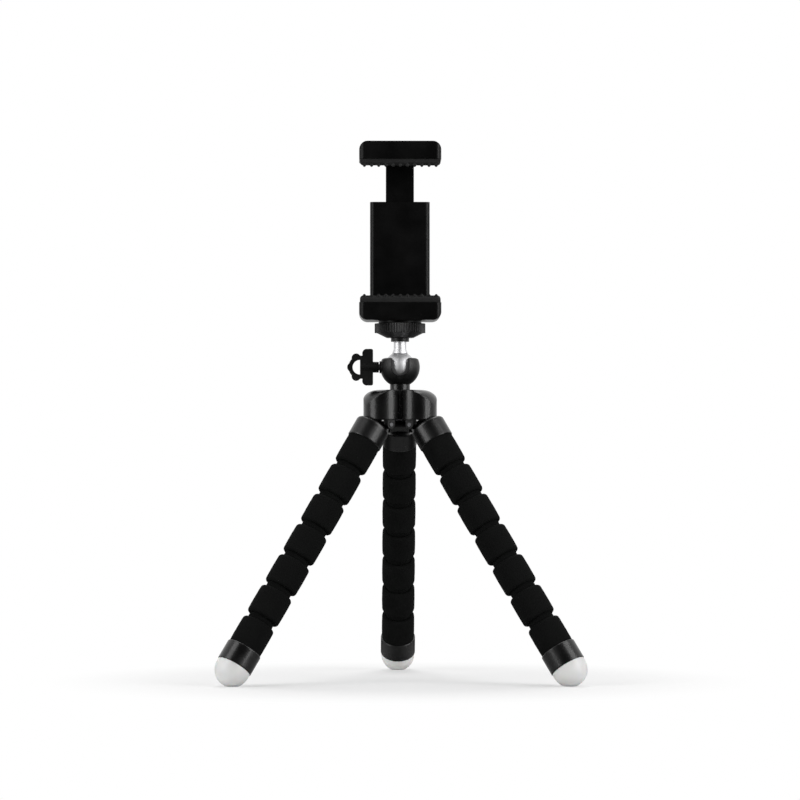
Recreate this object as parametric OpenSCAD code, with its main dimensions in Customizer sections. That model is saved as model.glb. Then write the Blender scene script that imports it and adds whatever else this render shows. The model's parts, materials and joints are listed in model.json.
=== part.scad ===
// Flexible leg tripod with a ball head and a sprung phone clamp, in millimetres.
// The floor is z = 0, the hub axis is the Z axis, and the front faces -Y.

/* [Foam legs] */
// Diameter of a foam bead
foam_d = 14.6; // [13.6:0.1:16]
// Distance from groove to groove
bead_pitch = 15.4; // [13:0.1:18]
// Width of a groove between two beads
groove_w = 2.5; // [2:0.1:3.5]
// Diameter at the bottom of a groove
neck_d = 11.4; // [9.5:0.1:11.8]
// Edge rounding of a bead
bead_edge_r = 1.2; // [0.6:0.1:1.4]
// Length of the first bead below its collar
first_bead_len = 12.8; // [11:0.1:16]
// Length of the last bead above its end cap
last_bead_len = 12.6; // [11:0.1:16]
// Diameter of the bendable core wire
wire_d = 3; // [2:0.1:3.6]
// Angle of a leg from the vertical at its hinge stop
splay_angle = 33.3; // [28:0.1:38]
// Outward bend that each groove keeps at rest
curl_angle = 0.1; // [0:0.1:2]

/* [Leg ends] */
// Diameter of a collar
collar_d = 15.4; // [14.6:0.1:16.4]
// Length of a collar
collar_len = 9.3; // [8:0.1:12]
// Rounding of the collar's top edge
collar_edge_r = 1.6; // [0.8:0.1:2]
// Diameter of an end cap
cap_d = 15.6; // [15.2:0.1:16.6]
// Length of an end cap
cap_len = 8.8; // [8.4:0.1:12]
// Wall of the collars and end caps
sleeve_wall = 1.1; // [0.8:0.1:1.5]
// Rounding of the collars' and end caps' open edges
sleeve_edge_r = 0.4; // [0.2:0.05:0.5]
// Depth of the foam's seat in a collar or an end cap
seat_depth = 5.2; // [4:0.1:5.6]
// Depth of a foot's plug in its end cap
foot_plug_h = 1.2; // [0.6:0.1:1.3]
// Diameter of a foot
foot_d = 15; // [13.5:0.1:15.2]
// Straight part of a foot between its cap and its dome
foot_step = 1.5; // [0.3:0.1:2]
// Depth of a foot's worn flat
foot_flat = 0.5; // [0.3:0.1:1]

/* [Leg hinge] */
// Distance of the hinge pins from the hub axis
hinge_r = 8.5; // [8.2:0.1:9.5]
// How far a hinge pin sits inwards of its leg's axis
hinge_in = 3.9; // [3.4:0.1:4.4]
// Height of a hinge pin above its collar's top face
hinge_drop = 2.3; // [2.2:0.1:3]
// Height of the hub's underside above the hinge pins
hinge_below = 2.2; // [2.2:0.1:3]
// Diameter of a hinge knuckle
knuckle_d = 3.6; // [3:0.1:3.7]
// Width of a collar's hinge tongue
tongue_w = 7.8; // [6:0.1:8.2]
// Thickness of a hinge ear
ear_t = 2.8; // [2:0.1:3]
// Diameter of a hinge pin
pin_d = 1.8; // [1.4:0.1:2]

/* [Hub] */
// Diameter of a hub lobe
lobe_d = 16; // [15:0.1:17]
// Distance of the lobes from the hub axis
lobe_r = 9.1; // [8.6:0.1:9.6]
// Height of the hub
hub_h = 12.95; // [12:0.05:16]
// Radius of the hub's domed shoulder
dome_r = 7; // [5:0.1:10]
// Diameter of the round between the lobes
hub_mid_d = 15.2; // [14:0.1:18]
// Wall of the hub shell
hub_wall = 1.6; // [1.2:0.1:2]
// Height of the hub core inside the shell
core_h = 6; // [5:0.1:6.5]
// Diameter of the neck on the hub
post_d = 8.7; // [8:0.1:10]
// Height of the neck on the hub
post_h = 2.55; // [1.5:0.05:4]
// Diameter of the screw that holds the head
hub_screw_d = 3; // [2:0.1:3.5]
// Diameter of that screw's head
hub_screw_head_d = 6; // [5:0.1:6.6]
// Height of that screw's head
hub_screw_head_h = 2.4; // [1.5:0.1:3]
// How far that screw reaches into the cup's spigot
hub_screw_bite = 5.5; // [4:0.1:6]

/* [Ball head] */
// Diameter of the ball
ball_d = 13.4; // [12:0.1:13.8]
// Outer diameter of the ball cup
cup_d = 17.2; // [16.6:0.1:19]
// Height of the cup's rim above the ball's centre
cup_rim = 3.9; // [3:0.1:4.2]
// Chamfer of the cup's rim
cup_edge = 0.7; // [0.3:0.1:1]
// Width of the cup's front slot
slot_w = 7.7; // [6.6:0.1:8.4]
// Diameter of the cup's spigot in the hub
spigot_d = 6; // [5:0.1:6.8]
// Length of the cup's spigot
spigot_len = 9.2; // [7:0.1:9.6]
// Diameter of the ball's stem
stem_d = 5.4; // [4.6:0.1:5.6]
// Diameter of the stem's flare on the ball
stem_flare_d = 6.6; // [6:0.1:6.8]
// Height of the stem's flare
stem_flare_h = 1.6; // [1:0.1:2.4]
// Height from the ball's centre to the lock wheel
stem_len = 11.1; // [9:0.1:14]
// Diameter of the threaded stud
stud_d = 6.2; // [5:0.1:6.4]

/* [Thumb screw] */
// Diameter of the steel screw
thumb_screw_d = 3; // [2.4:0.1:3.4]
// Diameter of the key's sleeve
key_sleeve_d = 4.7; // [4.4:0.1:6]
// Gap between the cup and the key plate
key_reach = 3.1; // [2:0.1:6]
// Length of the key plate
key_len = 11.2; // [9.6:0.1:14]
// Half the height of the key plate
key_half = 7.9; // [7:0.1:8.2]
// Thickness of the key plate
key_t = 3.6; // [2.5:0.1:4.4]
// Radius of the key's half-round hole
key_hole_r = 3.2; // [2.2:0.1:3.4]
// Width of the key's ring round the hole
key_ring_w = 1.8; // [1.2:0.1:2]
// Radius of a lobe on the key's edge
key_lobe_r = 2; // [1.7:0.1:2.2]
// Distance of the outermost lobes from the key's straight edge
key_top_x = 2.7; // [2.2:0.1:3]
// Distance of the middle lobes from the key's straight edge
key_mid_x = 7.3; // [6.6:0.1:7.8]
// Distance of the middle lobes from the screw's axis
key_mid_z = 3.9; // [3.4:0.1:4.4]
// Rounding of the corners at the key's straight edge
key_corner_r = 0.8; // [0.4:0.1:1.2]

/* [Lock wheel] */
// Diameter of the lock wheel
wheel_d = 22; // [18:0.1:24]
// Height of the wheel's knurled rim
wheel_rim_h = 4; // [2.5:0.1:5]
// Height of the wheel's cone
wheel_cone_h = 2.15; // [1.5:0.05:4]
// Diameter at the foot of the wheel's cone
wheel_cone_d = 11.8; // [10:0.1:17]
// Diameter of the wheel's hub
wheel_hub_d = 7.9; // [7.6:0.1:9.6]
// Height of the wheel's hub
wheel_hub_h = 1.65; // [1.5:0.05:4]
// Number of knurls
wheel_knurls = 60; // [24:1:72]
// Depth of the knurls
knurl_depth = 0.45; // [0.2:0.05:0.8]

/* [Phone clamp] */
// Opening between the pads when the clamp is shut
phone_gap = 59.5; // [54:0.1:70]
// Travel of the upper jaw
jaw_travel = 30; // [20:1:36]
// Width of the jaws
jaw_w = 35.5; // [34.6:0.1:42]
// Depth of the jaws from front to back
jaw_depth = 22; // [20:0.1:26]
// Height of a jaw
jaw_h = 7.7; // [7:0.1:10]
// Rounding of the jaws' outer corners
jaw_corner_r = 3.7; // [2:0.1:5]
// Rounding of the jaws' upright edges
jaw_edge_r = 2.4; // [1:0.1:3]
// Diameter of the round boss under the lower jaw
boss_d = 18.6; // [14:0.1:21]
// Height of the boss under the lower jaw
boss_h = 1; // [0.4:0.1:2]
// Outer diameter of the threaded insert
insert_d = 9; // [8.4:0.1:11]
// Length of the threaded insert
insert_len = 5; // [4:0.1:5.4]
// Thickness of the lower jaw under the hollow of the spine
jaw_floor = 5.3; // [5:0.1:6]

/* [Pads] */
// Thickness of a pad under the phone's edge
pad_t = 1.2; // [0.8:0.1:2]
// Distance of a pad's ends from the jaw's ends
pad_inset = 0.35; // [0.2:0.05:0.5]
// Height of a pad's lip over its seat
lip_h = 2.3; // [1.5:0.1:3]
// Thickness of a pad's lip
lip_t = 1.8; // [1.2:0.1:2.5]
// Rounding of a lip's corners
lip_corner_r = 1.5; // [0.6:0.1:2]
// Number of teeth along a lip
tooth_count = 11; // [7:1:11]
// Distance from tooth to tooth
tooth_pitch = 3.1; // [2.6:0.1:3.2]
// Radius of a tooth
tooth_r = 0.6; // [0.4:0.05:0.8]

/* [Clamp spine] */
// Width of the spine
spine_w = 26; // [25:0.1:29]
// Thickness of the spine from front to back
spine_t = 9; // [8.4:0.1:10]
// Wall of the spine
spine_wall = 1.8; // [1.4:0.1:2]
// Thickness of the spine's end wall, which the tongue slides through
spine_end = 5; // [4.4:0.1:6]
// Rounding of the spine's upright edges
spine_edge_r = 2; // [1:0.1:2.5]
// Thickness of the back cover
cover_t = 1.6; // [1.2:0.1:2]
// Height of the cover's lower edge over the jaw's underside
cover_rise = 1.2; // [0.8:0.1:1.4]
// Height of the tongue's foot
tongue_foot_h = 3; // [2:0.1:4]
// Diameter of a cover screw
cover_screw_d = 2; // [1.6:0.1:2.4]
// Diameter of a cover screw's head
cover_screw_head_d = 3.6; // [3:0.1:3.8]
// Height of a cover screw's head
cover_screw_head_h = 0.9; // [0.6:0.1:1]
// Outer diameter of a jaw spring
spring_d = 4.5; // [3.6:0.1:4.6]
// Diameter of the spring wire
spring_wire_d = 0.6; // [0.4:0.05:0.7]
// Number of curls of a jaw spring
spring_curls = 13; // [8:1:14]

/* [Hidden] */
$fn = 64;
SIDES = ["left", "right", "back"];
LEG_TURN = [210, 330, 90];
BEADS = 7;
GROOVES = BEADS - 1;

// Clearances
run_gap = 0.06;
fit_gap = 0.05;
side_gap = 0.3;
stop_gap = 0.4;
neck_gap = 0.3;
turn_gap = 0.15;
overlap = 0.5;

// Places along a leg, measured down its axis from the collar's top
first_groove = collar_len + first_bead_len + groove_w / 2;
last_reach = groove_w / 2 + last_bead_len;
foot_reach = last_reach + cap_len + foot_step;
foam_seat_d = min(collar_d, cap_d) - 2 * sleeve_wall;
foam_end_d = foam_seat_d - 2 * fit_gap;
wire_seat = seat_depth + wire_d / 2;

// A leg's points as [distance outwards, height], measured from its hinge pin
function down(angle) = [sin(angle), -cos(angle)];
function out(angle) = [cos(angle), sin(angle)];
function bead_angle(bead) = splay_angle + (bead - 1) * curl_angle;
collar_at = hinge_drop * down(splay_angle) + hinge_in * out(splay_angle);
function groove_at(groove) = groove == 1
    ? collar_at + first_groove * down(splay_angle)
    : groove_at(groove - 1) + bead_pitch * down(bead_angle(groove));
foot_at = groove_at(GROOVES) + foot_reach * down(bead_angle(BEADS));

// Heights, from the floor up
hinge_z = foot_d / 2 - foot_flat - foot_at[1];
hub_z = hinge_z + hinge_below;
post_z = hub_z + hub_h;
cup_z = post_z + post_h;
ball_z = cup_z + sqrt(pow(cup_d / 2, 2) - pow(post_d / 2, 2));
wheel_z = ball_z + stem_len;
cone_z = wheel_z + wheel_hub_h;
rim_z = cone_z + wheel_cone_h;
boss_z = rim_z + wheel_rim_h + turn_gap;
jaw_z = boss_z + boss_h;
jaw_top = jaw_z + jaw_h;
seat_z = jaw_top + pad_t;
upper_seat_z = seat_z + phone_gap;
upper_jaw_z = upper_seat_z + pad_t;

// Hinge
ear_r = hinge_drop - stop_gap;
ear_in = tongue_w / 2 + side_gap;
pin_len = 2 * (ear_in + ear_t) + side_gap;
core_wall = hub_wall + fit_gap;

// Screws and stud
spigot_z = cup_z - spigot_len;
stud_top = boss_z + insert_len - side_gap;
key_x = cup_d / 2 + key_reach;
key_sleeve_x = cup_d / 2 + 2 * side_gap;
key_hole_x = key_x + key_len - key_sleeve_d / 2 - key_hole_r;

// Clamp, front to back
pad_y = -jaw_depth / 2 + side_gap;
pad_w = jaw_w - 2 * pad_inset;
spine_y = jaw_depth / 2 - spine_t;
cavity_y = spine_y + spine_wall;
cover_y = jaw_depth / 2 - cover_t;
cavity_w = spine_w - 2 * spine_wall;
jaw_tongue_w = cavity_w - 2 * spring_d - 4 * side_gap;
cavity_z = jaw_z + jaw_floor;
cover_z = jaw_z + cover_rise;
spring_solid = (spring_curls + 1) * spring_wire_d;
cavity_top = cavity_z + side_gap + tongue_foot_h + jaw_travel + spring_solid;
spine_top = cavity_top + spine_end;
tongue_y = cavity_y + side_gap;
tongue_t = cover_y - side_gap - tongue_y;
tongue_z = cavity_z + side_gap;
foot_top = tongue_z + tongue_foot_h;
cover_screw_x = (jaw_tongue_w + spine_w) / 4;
cover_screw_z = [(cavity_z + cover_z) / 2, spine_top - spine_end / 2];
cover_head_y = jaw_depth / 2 - cover_screw_head_h;

// Springs between the tongue's foot and the spine's end wall
spring_x = (jaw_tongue_w + cavity_w) / 4;
spring_y = (tongue_y + tongue_y + tongue_t) / 2;
spring_z = foot_top + fit_gap + spring_wire_d / 2;
spring_len = cavity_top - fit_gap - spring_wire_d / 2 - spring_z;
spring_ring_r = (spring_d - spring_wire_d) / 2;
CURL_RINGS = 8;
WIRE_SIDES = 6;
spring_rings = spring_curls * CURL_RINGS;

// Centre of ring i of a spring, and the tube's corners round it
function spring_turn(i) = 360 * i / CURL_RINGS;
function spring_point(i) =
    [spring_ring_r * cos(spring_turn(i)), spring_ring_r * sin(spring_turn(i)),
     spring_len * i / spring_rings];
function spring_corner(i, side) =
    let (lean = 360 * side / WIRE_SIDES, reach = spring_ring_r + spring_wire_d / 2 * cos(lean))
    [reach * cos(spring_turn(i)), reach * sin(spring_turn(i)),
     spring_point(i)[2] + spring_wire_d / 2 * sin(lean)];
spring_gap = min([for (i = [0:spring_rings]) for (j = [i + CURL_RINGS - 2:spring_rings])
    norm(spring_point(i) - spring_point(j))]) - spring_wire_d;
echo(least_gap_between_spring_curls = spring_gap);

// Rod on the Z axis from z0 to z1 with rounded ends
module rounded_rod(d, z0, z1, r0, r1) {
    rotate_extrude() {
        translate([0, z0]) square([d / 2 - r0, z1 - z0 - r1]);
        translate([0, z0 + r0]) square([d / 2 - r1, z1 - z0 - r0]);
        translate([0, z0 + r0]) square([d / 2, z1 - z0 - r0 - r1]);
        translate([d / 2 - r0, z0 + r0]) circle(r0);
        translate([d / 2 - r1, z1 - r1]) circle(r1);
    }
}

// Rectangle with four round corners, centred
module round_rect(w, d, r) {
    square([w - 2 * r, d], center = true);
    square([w, d - 2 * r], center = true);
    for (x = [-1, 1], y = [-1, 1]) translate([x * (w / 2 - r), y * (d / 2 - r)]) circle(r);
}

// Rectangle standing on the X axis with its two lower corners round
module round_foot(w, h, r) {
    translate([-w / 2, r]) square([w, h - r]);
    translate([-w / 2 + r, 0]) square([w - 2 * r, h]);
    for (x = [-1, 1]) translate([x * (w / 2 - r), r]) circle(r);
}

// Frame of a leg's piece: local +Z up the leg, local +X outwards, local Y along the hinge
module on_leg(leg, point, angle) {
    rotate([0, 0, LEG_TURN[leg]])
        translate([hinge_r + point[0], 0, hinge_z + point[1]]) rotate([0, -angle, 0]) children();
}

// Cylinder along Y, centred
module cross_rod(d, len) {
    rotate([90, 0, 0]) cylinder(d = d, h = len, center = true);
}

// Three lobes and the round between them
module hub_prism(inset, h) {
    for (turn = LEG_TURN) rotate([0, 0, turn]) translate([lobe_r, 0, 0])
        cylinder(d = lobe_d - 2 * inset, h = h);
    cylinder(d = hub_mid_d - 2 * inset, h = h);
}

// Room that the collars need against the hub
module collar_stops() {
    for (leg = [0:2]) on_leg(leg, collar_at, splay_angle)
        translate([0, 0, stop_gap - collar_len]) cylinder(d = collar_d + 2 * stop_gap, h = collar_len);
}

module at_ears() {
    for (leg = [0:2], side = [-1, 1]) on_leg(leg, [0, 0], 0)
        translate([0, side * (ear_in + ear_t / 2), 0]) children();
}

// Upper ends of the hinge ears, sunk into the hub, with room round them
module ear_roots(room) {
    at_ears() translate([-ear_r - room, -ear_t / 2 - room, 0])
        cube([2 * ear_r + 2 * room, ear_t + 2 * room, hinge_below + overlap + room]);
}

module hub_shell() {
    dome_flat = lobe_r + lobe_d / 2 - dome_r;
    color("#0d0d0e") difference() {
        union() {
            translate([0, 0, hub_z]) intersection() {
                hub_prism(0, hub_h);
                rotate_extrude() intersection() {
                    union() {
                        square([dome_flat, hub_h]);
                        square([dome_flat + dome_r, hub_h - dome_r]);
                        translate([dome_flat, hub_h - dome_r]) circle(dome_r);
                    }
                    square([dome_flat + dome_r, hub_h]);
                }
            }
            translate([0, 0, post_z - overlap]) cylinder(d = post_d, h = post_h + overlap);
        }
        translate([0, 0, hub_z - overlap]) hub_prism(hub_wall, core_h + overlap + fit_gap);
        translate([0, 0, hub_z]) cylinder(d = spigot_d + 2 * fit_gap, h = hub_h + post_h + overlap);
        collar_stops();
        ear_roots(fit_gap);
    }
}

// Round-ended ears that hang from the hub and hold the hinge pins' ends
module hinge_ears() {
    at_ears() cross_rod(2 * ear_r, ear_t);
    ear_roots(0);
}

module hub_core() {
    color("#161617") difference() {
        union() {
            difference() {
                translate([0, 0, hub_z]) hub_prism(core_wall, core_h);
                collar_stops();
            }
            hinge_ears();
        }
        for (leg = [0:2]) on_leg(leg, [0, 0], 0) cross_rod(pin_d + 2 * fit_gap, pin_len + overlap);
        translate([0, 0, hub_z - overlap]) {
            cylinder(d = hub_screw_d + 2 * fit_gap, h = core_h + 2 * overlap);
            cylinder(d = hub_screw_head_d + 2 * side_gap, h = hub_screw_head_h + overlap);
        }
        translate([0, 0, spigot_z - fit_gap]) cylinder(d = spigot_d + 2 * fit_gap, h = spigot_len);
    }
}

module hinge_pins() {
    color("#8c8e92") for (leg = [0:2]) on_leg(leg, [0, 0], 0) cross_rod(pin_d, pin_len);
}

module hub_screw() {
    color("#8c8e92") translate([0, 0, hub_z]) {
        cylinder(d = hub_screw_head_d, h = hub_screw_head_h);
        cylinder(d = hub_screw_d, h = spigot_z - hub_z + hub_screw_bite);
    }
}

module collar(leg) {
    color("#0d0d0e") on_leg(leg, collar_at, splay_angle) difference() {
        union() {
            rounded_rod(collar_d, -collar_len, 0, sleeve_edge_r, collar_edge_r);
            translate([-hinge_in, 0, hinge_drop]) {
                cross_rod(knuckle_d, tongue_w);
                translate([-knuckle_d / 2, -tongue_w / 2, -hinge_drop - collar_edge_r])
                    cube([knuckle_d, tongue_w, hinge_drop + collar_edge_r]);
            }
        }
        translate([-hinge_in, 0, hinge_drop]) cross_rod(pin_d + 2 * run_gap, tongue_w + overlap);
        translate([0, 0, -collar_len - overlap]) cylinder(d = foam_seat_d, h = seat_depth + overlap);
        translate([0, 0, -collar_len]) cylinder(d = wire_d + 2 * fit_gap, h = wire_seat);
    }
}

// Foam bead between two grooves: its ball-shaped neck fits the socket of the bead below
module foam(leg, bead) {
    first = bead == 1;
    last = bead == BEADS;
    upper_z = first ? first_groove : bead_pitch;
    top_z = first ? groove_w / 2 + first_bead_len : bead_pitch - groove_w / 2;
    color("#2c2c2e") if (last) {
        on_leg(leg, groove_at(GROOVES), bead_angle(BEADS)) difference() {
            union() {
                rounded_rod(foam_d, -last_reach, -groove_w / 2, fit_gap, bead_edge_r);
                translate([0, 0, -last_reach - seat_depth + fit_gap])
                    cylinder(d = foam_end_d, h = seat_depth);
            }
            sphere(d = neck_d + 2 * neck_gap);
            translate([0, 0, -last_reach - seat_depth])
                cylinder(d = wire_d + 2 * fit_gap, h = last_reach + seat_depth);
        }
    } else {
        on_leg(leg, groove_at(bead), bead_angle(bead)) difference() {
            union() {
                rounded_rod(foam_d, groove_w / 2, top_z, bead_edge_r, first ? fit_gap : bead_edge_r);
                sphere(d = neck_d);
                if (first) translate([0, 0, top_z - fit_gap]) cylinder(d = foam_end_d, h = seat_depth);
            }
            if (!first) translate([0, 0, upper_z]) sphere(d = neck_d + 2 * neck_gap);
            translate([0, 0, -neck_d]) cylinder(d = wire_d + 2 * fit_gap, h = neck_d + upper_z + overlap);
        }
    }
}

// Wire that runs straight through each bead and turns at each groove, where it swells a little
module core_wire(leg) {
    wire_top = first_groove - collar_len + wire_seat - fit_gap;
    wire_foot = last_reach + wire_seat - fit_gap;
    color("#a9abb0") {
        on_leg(leg, groove_at(1), splay_angle)
            translate([0, 0, fit_gap]) cylinder(d = wire_d, h = wire_top - fit_gap);
        for (groove = [2:GROOVES]) on_leg(leg, groove_at(groove), bead_angle(groove))
            translate([0, 0, fit_gap]) cylinder(d = wire_d, h = bead_pitch - 2 * fit_gap);
        for (groove = [1:GROOVES]) on_leg(leg, groove_at(groove), bead_angle(groove))
            sphere(d = wire_d + fit_gap);
        on_leg(leg, groove_at(GROOVES), bead_angle(BEADS))
            translate([0, 0, -wire_foot]) cylinder(d = wire_d, h = wire_foot - fit_gap);
    }
}

module end_cap(leg) {
    color("#0d0d0e") on_leg(leg, groove_at(GROOVES), bead_angle(BEADS))
        translate([0, 0, -last_reach]) difference() {
            rounded_rod(cap_d, -cap_len, 0, sleeve_edge_r, sleeve_edge_r);
            translate([0, 0, -seat_depth]) cylinder(d = foam_seat_d, h = seat_depth + overlap);
            translate([0, 0, -wire_seat]) cylinder(d = wire_d + 2 * fit_gap, h = wire_seat);
            translate([0, 0, -cap_len - overlap]) cylinder(d = foam_seat_d, h = foot_plug_h + overlap);
        }
}

module foot(leg) {
    color("#f1f1ef") difference() {
        on_leg(leg, foot_at, bead_angle(BEADS)) rotate_extrude() {
            intersection() {
                circle(d = foot_d);
                translate([0, -foot_d]) square([foot_d, foot_d + foot_step]);
            }
            square([foot_d / 2, foot_step]);
            square([foam_end_d / 2, foot_step + foot_plug_h - fit_gap]);
        }
        on_leg(leg, [foot_at[0], -hinge_z], 0)
            translate([0, 0, -foot_d / 2]) cube([2 * foot_d, 2 * foot_d, foot_d], center = true);
    }
}

// Outline of the cup to the right of its axis, round the ball's centre
module cup_outline() {
    base = cup_z - ball_z;
    rim_r = sqrt(pow(cup_d / 2, 2) - pow(cup_rim, 2));
    intersection() {
        circle(d = cup_d);
        polygon([
            [0, base], [cup_d, base], [cup_d, 0], [rim_r + cup_edge, cup_rim - cup_edge],
            [rim_r - cup_edge, cup_rim], [0, cup_rim]]);
    }
}

module ball_cup() {
    color("#1b1b1d") difference() {
        union() {
            translate([0, 0, ball_z]) rotate_extrude() cup_outline();
            translate([0, 0, spigot_z]) cylinder(d = spigot_d, h = spigot_len + overlap);
            translate([-cup_d / 2 - side_gap, 0, ball_z]) rotate([0, 90, 0])
                cylinder(d = key_sleeve_d + 2 * side_gap, h = (cup_d - ball_d) / 2);
        }
        translate([0, 0, ball_z]) {
            sphere(d = ball_d + 2 * run_gap);
            rotate([90, 0, 0]) linear_extrude(cup_d) {
                circle(d = slot_w);
                translate([-slot_w / 2, 0]) square([slot_w, cup_d]);
            }
            translate([-cup_d, 0, 0]) rotate([0, 90, 0])
                cylinder(d = thumb_screw_d + 2 * run_gap, h = cup_d);
        }
        translate([0, 0, spigot_z - overlap])
            cylinder(d = hub_screw_d + 2 * fit_gap, h = hub_screw_bite + 2 * overlap);
    }
}

module ball() {
    color("#d7d8da") translate([0, 0, ball_z]) sphere(d = ball_d);
}

module ball_stem() {
    flare_z = sqrt(pow(ball_d / 2 + run_gap, 2) - pow(stem_flare_d / 2, 2)) + side_gap;
    color("#d7d8da") difference() {
        union() {
            translate([0, 0, ball_z]) cylinder(d = stem_d, h = stem_len + overlap);
            translate([0, 0, ball_z]) cylinder(d = stem_flare_d, h = flare_z);
            translate([0, 0, ball_z + flare_z]) cylinder(d1 = stem_flare_d, d2 = stem_d, h = stem_flare_h);
            translate([0, 0, wheel_z + side_gap]) cylinder(d = stud_d, h = stud_top - wheel_z - side_gap);
        }
        translate([0, 0, ball_z]) sphere(d = ball_d + 2 * run_gap);
    }
}

module thumb_screw() {
    tip = ball_d / 2 + turn_gap;
    color("#8c8e92") translate([-key_hole_x + side_gap, 0, ball_z]) rotate([0, 90, 0])
        cylinder(d = thumb_screw_d, h = key_hole_x - side_gap - tip);
}

// Half-flower plate in the XZ plane, with lobes round a half-round hole
module key_outline() {
    tip_x = key_x + key_len - key_lobe_r;
    mid_x = key_x + key_mid_x;
    top_x = key_x + key_top_x;
    top_z = key_half - key_lobe_r;
    translate([-key_hole_x, 0]) circle(key_hole_r + key_ring_w);
    translate([-tip_x, 0]) circle(key_lobe_r);
    for (side = [-1, 1]) {
        translate([-mid_x, side * key_mid_z]) circle(key_lobe_r);
        translate([-top_x, side * top_z]) circle(key_lobe_r);
    }
    translate([-key_x - key_top_x / 2, 0]) round_rect(key_top_x, 2 * key_half, key_corner_r);
    polygon([
        [-key_x, top_z], [-top_x, top_z], [-mid_x, key_mid_z], [-tip_x, 0],
        [-mid_x, -key_mid_z], [-top_x, -top_z], [-key_x, -top_z]]);
}

module thumb_key() {
    color("#131314") translate([0, 0, ball_z]) difference() {
        union() {
            rotate([90, 0, 0]) linear_extrude(key_t, center = true) key_outline();
            translate([-key_hole_x, 0, 0]) rotate([0, 90, 0])
                cylinder(d = key_sleeve_d, h = key_hole_x - key_sleeve_x);
        }
        rotate([90, 0, 0]) linear_extrude(key_t + 2 * key_sleeve_d, center = true) intersection() {
            translate([-key_hole_x, 0]) circle(key_hole_r);
            translate([-key_hole_x - 2 * key_hole_r, -key_hole_r]) square(2 * key_hole_r);
        }
        translate([-key_hole_x + side_gap - fit_gap, 0, 0]) rotate([0, 90, 0])
            cylinder(d = thumb_screw_d + 2 * fit_gap, h = key_hole_x);
    }
}

module lock_wheel() {
    root_r = wheel_d / 2 - knurl_depth;
    teeth = [for (i = [0:2 * wheel_knurls - 1])
        let (turn = 180 * i / wheel_knurls, r = i % 2 == 0 ? wheel_d / 2 : root_r)
        [r * cos(turn), r * sin(turn)]];
    color("#161617") difference() {
        union() {
            translate([0, 0, wheel_z]) cylinder(d = wheel_hub_d, h = wheel_hub_h + overlap);
            translate([0, 0, cone_z])
                cylinder(d1 = wheel_cone_d, d2 = 2 * (root_r - side_gap), h = wheel_cone_h);
            translate([0, 0, rim_z]) linear_extrude(wheel_rim_h) polygon(teeth);
        }
        translate([0, 0, wheel_z - overlap])
            cylinder(d = stud_d + 2 * run_gap, h = boss_z - wheel_z + overlap);
    }
}

// Jaw block standing on z = 0 with round lower corners and upright edges
module jaw_block() {
    intersection() {
        rotate([90, 0, 0]) linear_extrude(jaw_depth, center = true) round_foot(jaw_w, jaw_h, jaw_corner_r);
        linear_extrude(jaw_h) round_rect(jaw_w, jaw_depth, jaw_edge_r);
    }
}

// Upright post behind the phone, with round edges
module spine_block() {
    translate([0, spine_y + spine_t / 2, jaw_z])
        linear_extrude(spine_top - jaw_z) round_rect(spine_w, spine_t, spine_edge_r);
}

module lower_jaw() {
    color("#0f0f10") difference() {
        union() {
            translate([0, 0, jaw_z]) jaw_block();
            translate([0, 0, boss_z]) cylinder(d = boss_d, h = boss_h + overlap);
            spine_block();
        }
        translate([-cavity_w / 2, cavity_y, cavity_z]) cube([cavity_w, spine_t, cavity_top - cavity_z]);
        translate([-jaw_tongue_w / 2 - side_gap, cavity_y, cavity_z])
            cube([jaw_tongue_w + 2 * side_gap, spine_t, spine_top - cavity_z + overlap]);
        translate([-spine_w / 2 - fit_gap, cover_y, cover_z])
            cube([spine_w + 2 * fit_gap, spine_t, spine_top - jaw_z]);
        translate([0, 0, boss_z - overlap]) cylinder(d = insert_d + 2 * fit_gap, h = insert_len + overlap);
        cover_screw_rods(cover_screw_d + 2 * fit_gap, cavity_y, cover_y + overlap);
    }
}

// Rods along Y at the cover's four screws
module cover_screw_rods(d, front_y, back_y) {
    for (x = [-1, 1], z = cover_screw_z) translate([x * cover_screw_x, front_y, z])
        rotate([-90, 0, 0]) cylinder(d = d, h = back_y - front_y);
}

module thread_insert() {
    color("#b08d3c") translate([0, 0, boss_z]) difference() {
        cylinder(d = insert_d, h = insert_len);
        translate([0, 0, -overlap]) cylinder(d = stud_d + 2 * run_gap, h = insert_len + 2 * overlap);
    }
}

module spine_cover() {
    color("#141415") difference() {
        intersection() {
            spine_block();
            translate([-spine_w / 2, cover_y, cover_z + fit_gap])
                cube([spine_w, cover_t, spine_top - cover_z]);
        }
        cover_screw_rods(cover_screw_d + 2 * fit_gap, cover_y - overlap, jaw_depth);
        cover_screw_rods(cover_screw_head_d + 2 * fit_gap, cover_head_y, jaw_depth);
    }
}

module cover_screws() {
    color("#8c8e92") {
        cover_screw_rods(cover_screw_d, cavity_y + fit_gap, cover_head_y + fit_gap);
        cover_screw_rods(cover_screw_head_d, cover_head_y, jaw_depth / 2);
    }
}

// Pad lying on z = 0: a flat seat with a toothed lip at the front
module pad() {
    bar_h = pad_t + lip_h - tooth_r;
    translate([-pad_w / 2, pad_y, 0]) cube([pad_w, spine_y - side_gap - pad_y, pad_t]);
    translate([0, pad_y + lip_t, 0]) rotate([90, 0, 0]) linear_extrude(lip_t) {
        translate([0, bar_h]) mirror([0, 1]) round_foot(pad_w, bar_h, lip_corner_r);
        for (i = [0:tooth_count - 1]) translate([(i - (tooth_count - 1) / 2) * tooth_pitch, bar_h])
            circle(tooth_r);
    }
}

module lower_pad() {
    color("#1d1d1f") translate([0, 0, jaw_top]) pad();
}

module upper_pad() {
    color("#1d1d1f") translate([0, 0, upper_jaw_z]) mirror([0, 0, 1]) pad();
}

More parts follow.
